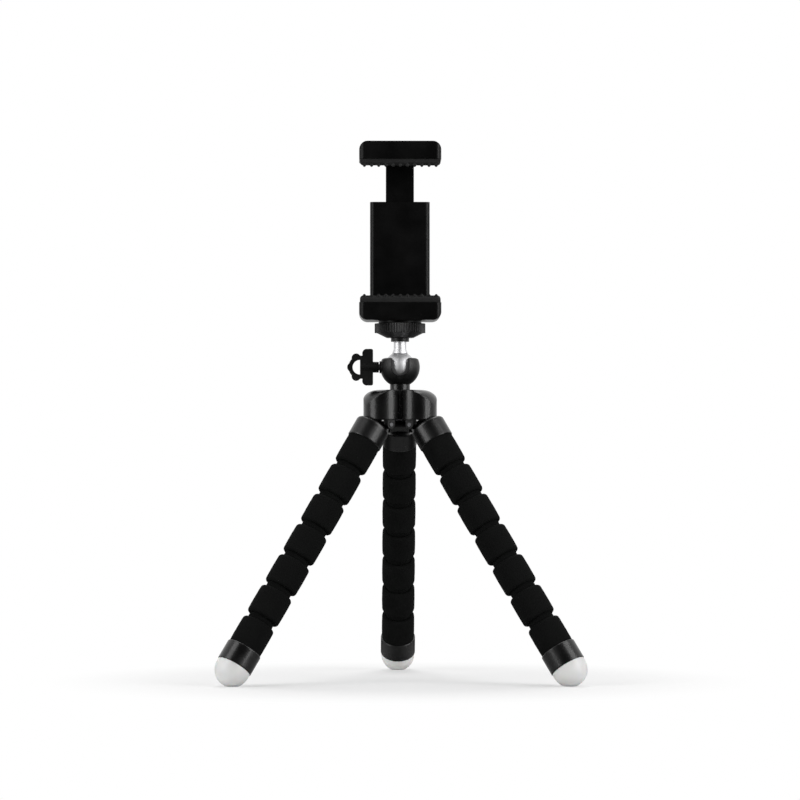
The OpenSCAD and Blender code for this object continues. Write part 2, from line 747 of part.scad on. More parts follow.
module upper_jaw() {
    color("#0f0f10") {
        translate([0, 0, upper_jaw_z + jaw_h]) mirror([0, 0, 1]) jaw_block();
        translate([-jaw_tongue_w / 2, tongue_y, tongue_z])
            cube([jaw_tongue_w, tongue_t, upper_jaw_z + overlap - tongue_z]);
        translate([-cavity_w / 2 + side_gap, tongue_y, tongue_z])
            cube([cavity_w - 2 * side_gap, tongue_t, tongue_foot_h]);
    }
}

// Unbroken tube of wire along the helix
module spring() {
    points = [for (i = [0:spring_rings]) for (side = [0:WIRE_SIDES - 1]) spring_corner(i, side)];
    skin = [for (i = [0:spring_rings - 1]) for (side = [0:WIRE_SIDES - 1])
        let (a = i * WIRE_SIDES + side, b = i * WIRE_SIDES + (side + 1) % WIRE_SIDES)
        each [[a, b, b + WIRE_SIDES], [a, b + WIRE_SIDES, a + WIRE_SIDES]]];
    near_end = [for (side = [1:WIRE_SIDES - 2]) [0, side + 1, side]];
    last = spring_rings * WIRE_SIDES;
    far_end = [for (side = [1:WIRE_SIDES - 2]) [last, last + side, last + side + 1]];
    polyhedron(points, concat(skin, near_end, far_end));
}

module jaw_springs() {
    color("#b4b6ba") for (side = [-1, 1]) translate([side * spring_x, spring_y, spring_z]) spring();
}

hub_shell();
hub_core();
hinge_pins();
hub_screw();
ball_cup();
ball();
ball_stem();
thumb_screw();
thumb_key();
lock_wheel();
lower_jaw();
thread_insert();
lower_pad();
spine_cover();
cover_screws();
upper_jaw();
upper_pad();
jaw_springs();
for (leg = [0:2]) {
    collar(leg);
    core_wire(leg);
    end_cap(leg);
    foot(leg);
    for (bead = [1:BEADS])
        foam(leg, bead);
}
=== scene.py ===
"""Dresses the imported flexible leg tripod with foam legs, pads, screws, springs, finishes and a studio."""

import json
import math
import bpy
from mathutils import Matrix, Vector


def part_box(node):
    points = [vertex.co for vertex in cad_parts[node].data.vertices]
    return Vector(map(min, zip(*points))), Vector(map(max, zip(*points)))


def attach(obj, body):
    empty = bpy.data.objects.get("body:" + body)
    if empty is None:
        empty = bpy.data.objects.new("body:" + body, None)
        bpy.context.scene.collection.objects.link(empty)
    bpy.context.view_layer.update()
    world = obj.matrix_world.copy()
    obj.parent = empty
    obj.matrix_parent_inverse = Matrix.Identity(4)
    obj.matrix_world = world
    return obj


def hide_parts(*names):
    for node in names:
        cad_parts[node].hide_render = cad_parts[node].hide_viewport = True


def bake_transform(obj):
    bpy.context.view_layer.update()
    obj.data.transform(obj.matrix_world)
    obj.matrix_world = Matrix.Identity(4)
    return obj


bl_info = {
    "name": "Flexible leg tripod",
    "version": (1, 0, 0),
    "blender": (4, 5, 0),
    "location": "View3D > Sidebar > Tripod",
    "description": "Models the soft and small pieces of a table tripod around its packed solids",
    "category": "Object",
}

from functools import wraps

import bpy
from bpy.props import FloatProperty, FloatVectorProperty, IntProperty, PointerProperty
from mathutils import Matrix, Vector

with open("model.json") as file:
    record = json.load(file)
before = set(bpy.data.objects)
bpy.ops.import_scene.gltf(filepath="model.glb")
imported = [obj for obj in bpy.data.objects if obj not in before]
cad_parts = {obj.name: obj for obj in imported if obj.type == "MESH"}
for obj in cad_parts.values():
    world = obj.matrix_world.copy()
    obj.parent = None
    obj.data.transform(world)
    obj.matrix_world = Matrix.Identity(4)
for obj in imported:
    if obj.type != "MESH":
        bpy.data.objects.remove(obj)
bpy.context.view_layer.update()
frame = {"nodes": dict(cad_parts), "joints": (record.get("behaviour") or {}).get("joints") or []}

SIDES = ("left", "right", "back")
BEADS = 7
GROOVES = BEADS - 1
ALL_BEADS = [(side, bead) for side in SIDES for bead in range(1, BEADS + 1)]
BEAD_KINDS = ("first", "middle", "last")
JOINTS = {joint["name"]: joint for joint in frame["joints"]}
MERGE_DISTANCE = 1e-6
CREASE_ANGLE = math.radians(35)
VERTEX_MODE = (True, False, False)
EDGE_MODE = (False, True, False)
# A spun rod keeps a pinhole on its axis, with this share of the rod's radius.
PINHOLE_SHARE = 0.02


def span(node):
    """Size of a CAD node's box along X, Y and Z."""
    low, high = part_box(node)
    return high - low


def groove_place(side, groove):
    """Where a leg turns at one of its grooves."""
    return Vector(JOINTS[f"{side}_bend_{groove}"]["pos_m"])


FOAM_D = span("back_foam_3").x
BEAD_PITCH = (groove_place("back", 2) - groove_place("back", 3)).length


def length_prop(name, description, default):
    """A length in metres that a user may change."""
    return FloatProperty(
        name=name, description=description, default=default, min=0, unit="LENGTH", precision=5)


def angle_prop(name, description, degrees):
    """An angle, given in degrees, that a user may change."""
    return FloatProperty(name=name, description=description, default=math.radians(degrees), subtype="ANGLE")


def power_prop(name, description, default):
    """A lamp's power in watts that a user may change."""
    return FloatProperty(name=name, description=description, default=default, min=0, unit="POWER")


def share_prop(name, description, default):
    """A share from 0 to 1 that a user may change."""
    return FloatProperty(
        name=name, description=description, default=default, min=0, max=1, subtype="FACTOR")


def count_prop(name, description, default):
    """A number of repeats that a user may change."""
    return IntProperty(name=name, description=description, default=default, min=1)


def colour_prop(name, description, default):
    """A colour that a user may change."""
    return FloatVectorProperty(
        name=name, description=description, default=default, size=3, min=0, max=1, subtype="COLOR")


class TripodLegSettings(bpy.types.PropertyGroup):
    """Sizes of the foam legs and their wires."""

    foam_d: length_prop("Foam diameter", "Diameter of a foam bead", FOAM_D)
    pitch: length_prop("Pitch", "Distance from groove to groove", BEAD_PITCH)
    groove_w: length_prop("Groove width", "Width of a groove between two beads", 0.0025)
    neck_d: length_prop("Neck diameter", "Diameter at the bottom of a groove", 0.0114)
    neck_gap: length_prop("Neck clearance", "Room between a neck and the socket below it", 0.0003)
    edge_r: length_prop("Bead edge", "Rounding of a bead's edges", 0.0012)
    crown: length_prop("Crown", "Swell of a bead between its edges", 0.00008)
    first_len: length_prop("First bead", "Length of the first bead below its collar", 0.0128)
    last_len: length_prop("Last bead", "Length of the last bead above its end cap", 0.0126)
    plug_d: length_prop("Plug diameter", "Diameter of the foam inside a collar or an end cap", 0.0131)
    plug_len: length_prop("Plug length", "Length of the foam inside a collar or an end cap", 0.0051)
    wire_d: length_prop("Wire diameter", "Diameter of the core wire", 0.003)
    grain: length_prop("Grain depth", "Height of the foam's grain", 0.00012)
    grain_size: length_prop("Grain size", "Width of the foam's grain", 0.0011)


class TripodClampSettings(bpy.types.PropertyGroup):
    """Sizes of the pads, springs and screws of the clamp."""

    pad_t: length_prop("Pad thickness", "Thickness of a pad's seat", 0.0012)
    lip_t: length_prop("Lip thickness", "Thickness of a pad's lip", 0.0018)
    lip_corner_r: length_prop("Lip corner", "Rounding of a lip's corners", 0.0015)
    tooth_r: length_prop("Tooth radius", "Radius of a tooth on a pad's lip", 0.0006)
    tooth_pitch: length_prop("Tooth pitch", "Distance from tooth to tooth", 0.0031)
    tooth_count: count_prop("Teeth", "Number of teeth along a lip", 11)
    voxel: length_prop("Softness", "Cell size that rounds the moulded rubber", 0.00015)
    spring_wire_d: length_prop("Spring wire", "Diameter of the spring wire", 0.0006)
    spring_d: length_prop("Spring diameter", "Outer diameter of a jaw spring", 0.0045)
    spring_curls: count_prop("Curls", "Number of curls of a jaw spring", 13)
    cover_head_d: length_prop("Cover screw head", "Diameter of a cover screw's head", 0.0036)
    cover_head_h: length_prop("Cover screw head height", "Height of a cover screw's head", 0.0009)
    cover_shaft_d: length_prop("Cover screw", "Diameter of a cover screw", 0.002)
    hub_head_d: length_prop("Hub screw head", "Diameter of the hub screw's head", 0.006)
    hub_head_h: length_prop("Hub screw head height", "Height of the hub screw's head", 0.0024)
    hub_shaft_d: length_prop("Hub screw", "Diameter of the hub screw", 0.003)


class TripodFinishSettings(bpy.types.PropertyGroup):
    """Colours of the finishes."""

    foam: colour_prop("Foam", "Matte black foam rubber", (0.004, 0.0042, 0.004))
    gloss_black: colour_prop("Gloss black", "Polished black plastic", (0.002, 0.002, 0.002))
    satin_black: colour_prop("Satin black", "Satin black plastic", (0.003, 0.003, 0.003))
    rubber: colour_prop("Rubber", "Black pad rubber", (0.004, 0.004, 0.004))
    foot: colour_prop("Foot", "White foot rubber", (0.8, 0.8, 0.79))
    bright_steel: colour_prop("Bright steel", "Satin ball and stem", (0.56, 0.56, 0.57))
    steel: colour_prop("Steel", "Plated screws and springs", (0.5, 0.5, 0.52))
    black_steel: colour_prop("Black steel", "Blackened hinge pins", (0.05, 0.05, 0.052))
    wire: colour_prop("Wire", "Drawn aluminium core wire", (0.6, 0.6, 0.62))
    brass: colour_prop("Brass", "Machined thread insert", (0.62, 0.46, 0.2))


class TripodStageSettings(bpy.types.PropertyGroup):
    """Camera, lamps and floor."""

    distance: length_prop("Distance", "Distance of the camera from the hub's axis", 1.425)
    height: length_prop("Height", "Height of the camera over the floor", 0.0858)
    tilt: angle_prop("Tilt", "Upward tilt of the camera", 1.43)
    turn: angle_prop("Turn", "Turn of the camera round the hub's axis", -0.7)
    lens: FloatProperty(
        name="Lens", description="Focal length in millimetres", default=147.9, min=1, unit="CAMERA")
    side_power: power_prop("Side light", "Power of each tall side light", 4.6)
    left_glint: power_prop("Left glint", "Power of the left light's gloss", 12.0)
    right_glint: power_prop("Right glint", "Power of the right light's gloss", 20.0)
    top_power: power_prop("Top light", "Power of the overhead light", 9.0)
    light_turn: angle_prop("Light turn", "Turn of the side lights away from the front", 58)
    light_distance: length_prop("Light distance", "Distance of the side lights from the hub's axis", 1.0)
    light_height: length_prop("Light height", "Height of the side lights over the floor", 0.45)
    fill: FloatProperty(name="Fill", description="Strength of the room's soft light", default=0.2, min=0)
    front: share_prop("Front", "Brightness of the room's front in reflections", 0.05)
    floor: colour_prop("Floor", "Colour of the floor", (0.9, 0.9, 0.9))
    floor_size: length_prop("Floor size", "Width of the floor", 8.0)
    floor_lift: share_prop("Floor lift", "Share of white in the floor near the tripod", 0.4)
    fade_start: length_prop("Fade start", "Distance at which the floor starts to fade to white", 0.07)
    fade_end: length_prop("Fade end", "Distance at which the floor is white", 0.16)


def deselect():
    """Leaves edit mode and selects nothing."""
    if bpy.context.object is not None and bpy.context.object.mode != "OBJECT":
        bpy.ops.object.mode_set(mode="OBJECT")
    bpy.ops.object.select_all(action="DESELECT")


def pick(obj, *others):
    """Selects these objects only, with the first one active."""
    deselect()
    for other in (obj, *others):
        other.select_set(True)
    bpy.context.view_layer.objects.active = obj


def name_active(name):
    """Names the object that an operator has just added, and its mesh."""
    obj = bpy.context.object
    obj.name = name
    obj.data.name = name
    return obj


def apply_modifiers(obj):
    """Applies all of an object's modifiers in order."""
    pick(obj)
    for modifier in list(obj.modifiers):
        bpy.ops.object.modifier_apply(modifier=modifier.name)


def put(obj, matrix):
    """Moves an object and leaves its place in its mesh."""
    obj.matrix_world = matrix
    pick(obj)
    bpy.ops.object.transform_apply(location=True, rotation=True, scale=True)
    return obj


def copy_piece(obj, name):
    """A copy of a piece with a mesh of its own."""
    pick(obj)
    bpy.ops.object.duplicate(linked=False)
    return name_active(name)


def drop(*objs):
    """Removes helper objects."""
    pick(*objs)
    bpy.ops.object.delete()


def smooth(obj, angle=CREASE_ANGLE):
    """Smooth shading with creases at sharp edges."""
    pick(obj)
    bpy.ops.object.shade_smooth_by_angle(angle=angle)


def tidy_mesh(obj):
    """Merges doubles and points the faces outwards."""
    pick(obj)
    bpy.ops.object.mode_set(mode="EDIT")
    bpy.ops.mesh.select_all(action="SELECT")
    bpy.ops.mesh.remove_doubles(threshold=MERGE_DISTANCE)
    bpy.ops.mesh.normals_make_consistent(inside=False)
    bpy.ops.object.mode_set(mode="OBJECT")


def turned(name, profile, segments):
    """Solid of revolution about Z: a closed outline of (radius, height) points is drawn and spun."""
    deselect()
    bpy.context.tool_settings.mesh_select_mode = VERTEX_MODE
    bpy.ops.mesh.primitive_plane_add(size=0.001)
    obj = name_active(name)
    bpy.ops.object.mode_set(mode="EDIT")
    bpy.ops.mesh.select_all(action="SELECT")
    bpy.ops.mesh.merge(type="CENTER")
    radius, height = profile[0]
    bpy.ops.transform.translate(value=(radius, 0, height))
    for (r0, z0), (r1, z1) in zip(profile, profile[1:]):
        bpy.ops.mesh.extrude_region_move(TRANSFORM_OT_translate={"value": (r1 - r0, 0, z1 - z0)})
    bpy.ops.mesh.select_all(action="DESELECT")
    bpy.ops.object.mode_set(mode="OBJECT")
    points = obj.data.vertices
    for radius, height in (profile[0], profile[-1]):
        end = Vector((radius, 0, height))
        min(points, key=lambda point: (point.co - end).length).select = True
    bpy.ops.object.mode_set(mode="EDIT")
    bpy.ops.mesh.edge_face_add()
    bpy.ops.mesh.select_all(action="SELECT")
    bpy.ops.mesh.spin(steps=segments, angle=2 * math.pi, center=(0, 0, 0), axis=(0, 0, 1))
    bpy.ops.object.mode_set(mode="OBJECT")
    tidy_mesh(obj)
    return obj


def arc(centre, radius, start, end, steps):
    """Points on an arc of (radius, height), with angles in degrees from the radial direction."""
    turns = [math.radians(start + (end - start) * i / steps) for i in range(steps + 1)]
    return [(centre[0] + radius * math.cos(t), centre[1] + radius * math.sin(t)) for t in turns]


LEG_SEGMENTS = 96
SIDE_ROWS = 24
EDGE_STEPS = 5
BALL_STEPS = 10


def bead_side(legs, low_z, high_z):
    """Side of a bead from its lower to its upper edge, swelling a little between them."""
    rows = []
    for i in range(1, SIDE_ROWS):
        share = i / SIDE_ROWS
        swell = legs.crown * math.sin(math.pi * share)
        rows.append((legs.foam_d / 2 + swell, low_z + (high_z - low_z) * share))
    return rows


def neck_points(legs):
    """Ball-shaped neck below a bead, from the wire's bore up to the bead's underside."""
    bore = legs.wire_d / 2
    neck = legs.neck_d / 2
    start = -math.degrees(math.acos(bore / neck))
    end = math.degrees(math.asin(legs.groove_w / 2 / neck))
    return arc((0, 0), neck, start, end, BALL_STEPS)


def socket_points(legs, centre_z):
    """Hollow above a bead that takes the next neck, from its rim down to the wire's bore."""
    bore = legs.wire_d / 2
    socket = legs.neck_d / 2 + legs.neck_gap
    start = -math.degrees(math.asin(legs.groove_w / 2 / socket))
    end = -math.degrees(math.acos(bore / socket))
    return arc((0, centre_z), socket, start, end, BALL_STEPS)


def lower_edge(legs, z):
    """Rounded lower edge of a bead."""
    return arc((legs.foam_d / 2 - legs.edge_r, z + legs.edge_r), legs.edge_r, -90, 0, EDGE_STEPS)


def upper_edge(legs, z):
    """Rounded upper edge of a bead."""
    return arc((legs.foam_d / 2 - legs.edge_r, z - legs.edge_r), legs.edge_r, 0, 90, EDGE_STEPS)


def bead_kind(bead):
    """Which of the three shapes a bead has."""
    if bead == 1:
        return "first"
    return "last" if bead == BEADS else "middle"


def bead_outline(legs, kind):
    """Outline of a bead round its lower groove, or round its upper one for the last bead."""
    first = kind == "first"
    last = kind == "last"
    half = legs.groove_w / 2
    bore = legs.wire_d / 2
    plug = legs.plug_d / 2
    skin = legs.foam_d / 2
    if last:
        foot_z = -half - legs.last_len
        outline = [(bore, foot_z - legs.plug_len), (plug, foot_z - legs.plug_len), (plug, foot_z)]
        low = [(skin, foot_z)]
        top_z = -half
    else:
        outline = neck_points(legs)
        low = lower_edge(legs, half)
        top_z = half + legs.first_len if first else legs.pitch - half
    outline += low
    high = [(skin, top_z)] if first else upper_edge(legs, top_z)
    outline += bead_side(legs, low[-1][1], high[0][1]) + high
    if first:
        outline += [(plug, top_z), (plug, top_z + legs.plug_len), (bore, top_z + legs.plug_len)]
    else:
        outline += socket_points(legs, 0 if last else legs.pitch)
    return outline


def leg_body(side, bead):
    """Name of the CAD body that carries a bead."""
    if bead == 1:
        return f"{side}_leg"
    return f"{side}_tip" if bead == BEADS else f"{side}_bead_{bead}"


def bead_frame(side, bead):
    """Place of a bead: local Z up the leg, local Y along its hinge, origin at its groove."""
    upper = min(max(bead - 1, 1), GROOVES - 1)
    up = (groove_place(side, upper) - groove_place(side, upper + 1)).normalized()
    along = Vector(JOINTS[f"{side}_leg_swing"]["axis"])
    out = along.cross(up).normalized()
    turn = Matrix((out, up.cross(out), up)).transposed().to_4x4()
    return Matrix.Translation(groove_place(side, min(bead, GROOVES))) @ turn


GRAIN_OCTAVES = 2


def foam_grain(obj, legs):
    """Uneven skin of cut foam, as geometry."""
    texture = bpy.data.textures.get("foam_grain") or bpy.data.textures.new("foam_grain", "CLOUDS")
    texture.noise_scale = legs.grain_size
    texture.noise_depth = GRAIN_OCTAVES
    grain = obj.modifiers.new("grain", "DISPLACE")
    grain.texture = texture
    grain.texture_coords = "LOCAL"
    grain.strength = legs.grain
    grain.mid_level = 0.5
    apply_modifiers(obj)


class TRIPOD_OT_foam_beads(bpy.types.Operator):
    """Model the foam beads of the legs and seat them on their bodies"""

    bl_idname = "tripod.foam_beads"
    bl_label = "Foam beads"

    def execute(self, context):
        legs = context.scene.tripod_legs
        finish = foam_finish(context.scene.tripod_finish)
        shapes = {}
        for kind in BEAD_KINDS:
            shapes[kind] = turned(f"{kind}_bead", bead_outline(legs, kind), LEG_SEGMENTS)
        for side, bead in ALL_BEADS:
            piece = copy_piece(shapes[bead_kind(bead)], f"{side}_foam_bead_{bead}")
            put(piece, bead_frame(side, bead))
            foam_grain(piece, legs)
            smooth(piece)
            piece.data.materials.append(finish)
            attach(piece, leg_body(side, bead))
            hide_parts(f"{side}_foam_{bead}")
        drop(*shapes.values())
        return {"FINISHED"}


WIRE_SEGMENTS = 24


def wire_outline(legs, low_z, high_z):
    """Outline of a wire piece with rounded ends."""
    r = legs.wire_d / 2
    tip = math.degrees(math.acos(PINHOLE_SHARE))
    return arc((0, low_z + r), r, -tip, 0, EDGE_STEPS) + arc((0, high_z - r), r, 0, tip, EDGE_STEPS)


class TRIPOD_OT_core_wires(bpy.types.Operator):
    """Model the core wires in pieces, one in each bead, so that they bend with the legs"""

    bl_idname = "tripod.core_wires"
    bl_label = "Core wires"

    def execute(self, context):
        legs = context.scene.tripod_legs
        finish = wire_finish(context.scene.tripod_finish)
        half = legs.groove_w / 2
        # A wire runs through the plugs at both ends of the foam, with its round tips beyond them.
        reach = legs.plug_len + legs.wire_d / 2
        # Between the beads, each piece ends inside its own bead, so that pieces never meet in a bend.
        neck_tip = -math.sqrt(legs.neck_d ** 2 - legs.wire_d ** 2) / 2
        socket_foot = -legs.neck_d / 2 - legs.neck_gap
        ends = {
            "first": (neck_tip, half + legs.first_len + reach),
            "middle": (neck_tip, legs.pitch + socket_foot),
            "last": (-half - legs.last_len - reach, socket_foot),
        }
        shapes = {}
        for kind, (low_z, high_z) in ends.items():
            shapes[kind] = turned(f"{kind}_wire", wire_outline(legs, low_z, high_z), WIRE_SEGMENTS)
        for side, bead in ALL_BEADS:
            piece = copy_piece(shapes[bead_kind(bead)], f"{side}_wire_piece_{bead}")
            put(piece, bead_frame(side, bead))
            smooth(piece)
            piece.data.materials.append(finish)
            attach(piece, leg_body(side, bead))
            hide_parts(f"{side}_core_wire")
        drop(*shapes.values())
        return {"FINISHED"}


def block(name, low, high):
    """Box between two corners."""
    low, high = Vector(low), Vector(high)
    deselect()
    bpy.ops.mesh.primitive_cube_add(size=1, location=(low + high) / 2, scale=high - low)
    obj = name_active(name)
    bpy.ops.object.transform_apply(location=True, rotation=True, scale=True)
    return obj


TOOTH_SEGMENTS = 32
CORNER_SEGMENTS = 8
SOFTENING = 0.5
SOFTENING_PASSES = 4


def tooth_rod(radius, low_y, high_y, x, z):
    """Round rod along Y."""
    deselect()
    bpy.ops.mesh.primitive_cylinder_add(
        vertices=TOOTH_SEGMENTS, radius=radius, depth=high_y - low_y, location=(x, (low_y + high_y) / 2, z),
        rotation=(math.pi / 2, 0, 0))
    obj = name_active("tooth")
    bpy.ops.object.transform_apply(location=True, rotation=True, scale=True)
    return obj


def round_lip_corners(lip, tip_z, radius):
    """Rounds the two free corners of a lip."""
    pick(lip)
    bpy.context.tool_settings.mesh_select_mode = EDGE_MODE
    for edge in lip.data.edges:
        ends = [lip.data.vertices[i].co for i in edge.vertices]
        along = abs(ends[0].y - ends[1].y) > abs(ends[0].x - ends[1].x)
        edge.select = along and all(abs(end.z - tip_z) < MERGE_DISTANCE for end in ends)
    bpy.ops.object.mode_set(mode="EDIT")
    bpy.ops.mesh.bevel(offset=radius, segments=CORNER_SEGMENTS, affect="EDGES")
    bpy.ops.object.mode_set(mode="OBJECT")


def moulded_pad(name, node, clamp, up):
    """Pad of soft rubber: a seat with a toothed lip at its front, remeshed and smoothed into one skin."""
    low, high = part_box(node)
    base = low.z if up > 0 else high.z
    tip = high.z if up > 0 else low.z
    lip_y = low.y + clamp.lip_t
    bar_z = tip - up * clamp.tooth_r

    def slab(label, y1, z1):
        return block(label, (low.x, low.y, min(base, z1)), (high.x, y1, max(base, z1)))

    lip = slab("lip", lip_y, bar_z)
    round_lip_corners(lip, bar_z, clamp.lip_corner_r)
    parts = [slab(name, high.y, base + up * clamp.pad_t), lip]
    middle = (low.x + high.x) / 2
    for i in range(clamp.tooth_count):
        x = middle + (i - (clamp.tooth_count - 1) / 2) * clamp.tooth_pitch
        parts.append(tooth_rod(clamp.tooth_r, low.y, lip_y, x, bar_z))
    pick(*parts)
    bpy.ops.object.join()
    pad = bpy.context.object
    remesh = pad.modifiers.new("mould", "REMESH")
    remesh.mode = "VOXEL"
    remesh.voxel_size = clamp.voxel
    soften = pad.modifiers.new("soften", "SMOOTH")
    soften.factor = SOFTENING
    soften.iterations = SOFTENING_PASSES
    apply_modifiers(pad)
    return pad


class TRIPOD_OT_pads(bpy.types.Operator):
    """Model the two rubber pads with their toothed lips"""

    bl_idname = "tripod.pads"
    bl_label = "Clamp pads"

    def execute(self, context):
        clamp = context.scene.tripod_clamp
        finish = pad_finish(context.scene.tripod_finish)
        for node, body, up in (("lower_pad", "clamp", 1), ("upper_pad", "jaw", -1)):
            pad = moulded_pad(f"{node}_rubber", node, clamp, up)
            smooth(pad, math.pi)
            pad.data.materials.append(finish)
            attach(pad, body)
            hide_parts(node)
        return {"FINISHED"}


SPRING_WIRE_SEGMENTS = 10
CURL_SEGMENTS = 20


class TRIPOD_OT_jaw_springs(bpy.types.Operator):
    """Wind the two jaw springs at one fixed length; in the clamp they shorten as the upper jaw is pulled
    open
    """

    bl_idname = "tripod.jaw_springs"
    bl_label = "Jaw springs"

    def execute(self, context):
        clamp = context.scene.tripod_clamp
        finish = steel_finish(context.scene.tripod_finish)
        low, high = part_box("jaw_springs")
        wire_r = clamp.spring_wire_d / 2
        ring_r = clamp.spring_d / 2 - wire_r
        y = (low.y + high.y) / 2
        for name, x in (("left_jaw_spring", low.x + clamp.spring_d / 2),
                        ("right_jaw_spring", high.x - clamp.spring_d / 2)):
            deselect()
            bpy.ops.mesh.primitive_circle_add(
                vertices=SPRING_WIRE_SEGMENTS, radius=wire_r, location=(ring_r, 0, 0),
                rotation=(math.pi / 2, 0, 0))
            spring = name_active(name)
            bpy.ops.object.transform_apply(location=True, rotation=True, scale=True)
            wind = spring.modifiers.new("wind", "SCREW")
            wind.angle = 2 * math.pi
            wind.iterations = clamp.spring_curls
            wind.screw_offset = (high.z - low.z - 2 * wire_r) / clamp.spring_curls
            wind.steps = CURL_SEGMENTS
            wind.render_steps = CURL_SEGMENTS
            apply_modifiers(spring)
            bpy.ops.object.mode_set(mode="EDIT")
            bpy.ops.mesh.select_all(action="SELECT")
            bpy.ops.mesh.fill_holes(sides=0)
            bpy.ops.object.mode_set(mode="OBJECT")
            tidy_mesh(spring)
            put(spring, Matrix.Translation((x, y, low.z + wire_r)))
            smooth(spring)
            spring.data.materials.append(finish)
            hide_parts("jaw_springs")
            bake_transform(spring)
        return {"FINISHED"}


SCREW_SEGMENTS = 48
# Shares of the screw head's diameter and height.
RECESS_LENGTH = 0.56
RECESS_WIDTH = 0.14
RECESS_DEPTH = 0.55
HEAD_EDGE = 1 / 3
# Turn of the first cover screw's recess, and from screw to screw.
FIRST_TURN = math.radians(17)
TURN_STEP = math.radians(31)


def cross_screw(name, head_d, head_h, shaft_d, shaft_len):
    """Pan-head screw along Z with its head's top at z = 0, with a cross recess."""
    head_r = head_d / 2
    shaft_r = shaft_d / 2
    pinhole = shaft_r * PINHOLE_SHARE
    tip_z = -head_h - shaft_len
    edge = head_h * HEAD_EDGE
    outline = [(pinhole, tip_z), (shaft_r, tip_z), (shaft_r, -head_h), (head_r, -head_h)]
    outline += arc((head_r - edge, -edge), edge, 0, 90, EDGE_STEPS) + [(pinhole, 0)]
    screw = turned(name, outline, SCREW_SEGMENTS)
    length = RECESS_LENGTH * head_d
    width = RECESS_WIDTH * head_d
    depth = RECESS_DEPTH * head_h
    for size_x, size_y in ((length, width), (width, length)):
        cutter = block("cutter", (-size_x / 2, -size_y / 2, -depth), (size_x / 2, size_y / 2, depth))
        cut = screw.modifiers.new("recess", "BOOLEAN")
        cut.operation = "DIFFERENCE"
        cut.solver = "EXACT"
        cut.object = cutter
        apply_modifiers(screw)
        drop(cutter)
    smooth(screw)
    return screw


class TRIPOD_OT_screws(bpy.types.Operator):
    """Model the cover screws and the hub screw with their cross recesses"""

    bl_idname = "tripod.screws"
    bl_label = "Screws"

    def execute(self, context):
        clamp = context.scene.tripod_clamp
        finish = steel_finish(context.scene.tripod_finish)
        low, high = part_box("cover_screws")
        head_r = clamp.cover_head_d / 2
        first = cross_screw("cover_screw", clamp.cover_head_d, clamp.cover_head_h, clamp.cover_shaft_d,
                            high.y - low.y - clamp.cover_head_h)
        face_back = Matrix.Rotation(-math.pi / 2, 4, "X")
        columns = (low.x + head_r, high.x - head_r)
        rows = (low.z + head_r, high.z - head_r)
        for i, (x, z) in enumerate((x, z) for x in columns for z in rows):
            screw = copy_piece(first, f"cover_screw_{i + 1}")
            turn = Matrix.Rotation(FIRST_TURN + TURN_STEP * i, 4, "Z")
            put(screw, Matrix.Translation((x, high.y, z)) @ face_back @ turn)
            screw.data.materials.append(finish)
            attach(screw, "clamp")
            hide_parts("cover_screws")
        drop(first)
        low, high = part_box("hub_screw")
        screw = cross_screw("hub_cross_screw", clamp.hub_head_d, clamp.hub_head_h, clamp.hub_shaft_d,
                            high.z - low.z - clamp.hub_head_h)
        put(screw, Matrix.Translation((0, 0, low.z)) @ Matrix.Rotation(math.pi, 4, "X"))
        screw.data.materials.append(finish)
        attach(screw, "hub")
        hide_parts("hub_screw")
        return {"FINISHED"}


# Noise lies mostly between these values.
NOISE_LOW = 0.3
NOISE_HIGH = 0.7
EDGE_SAMPLES = 6


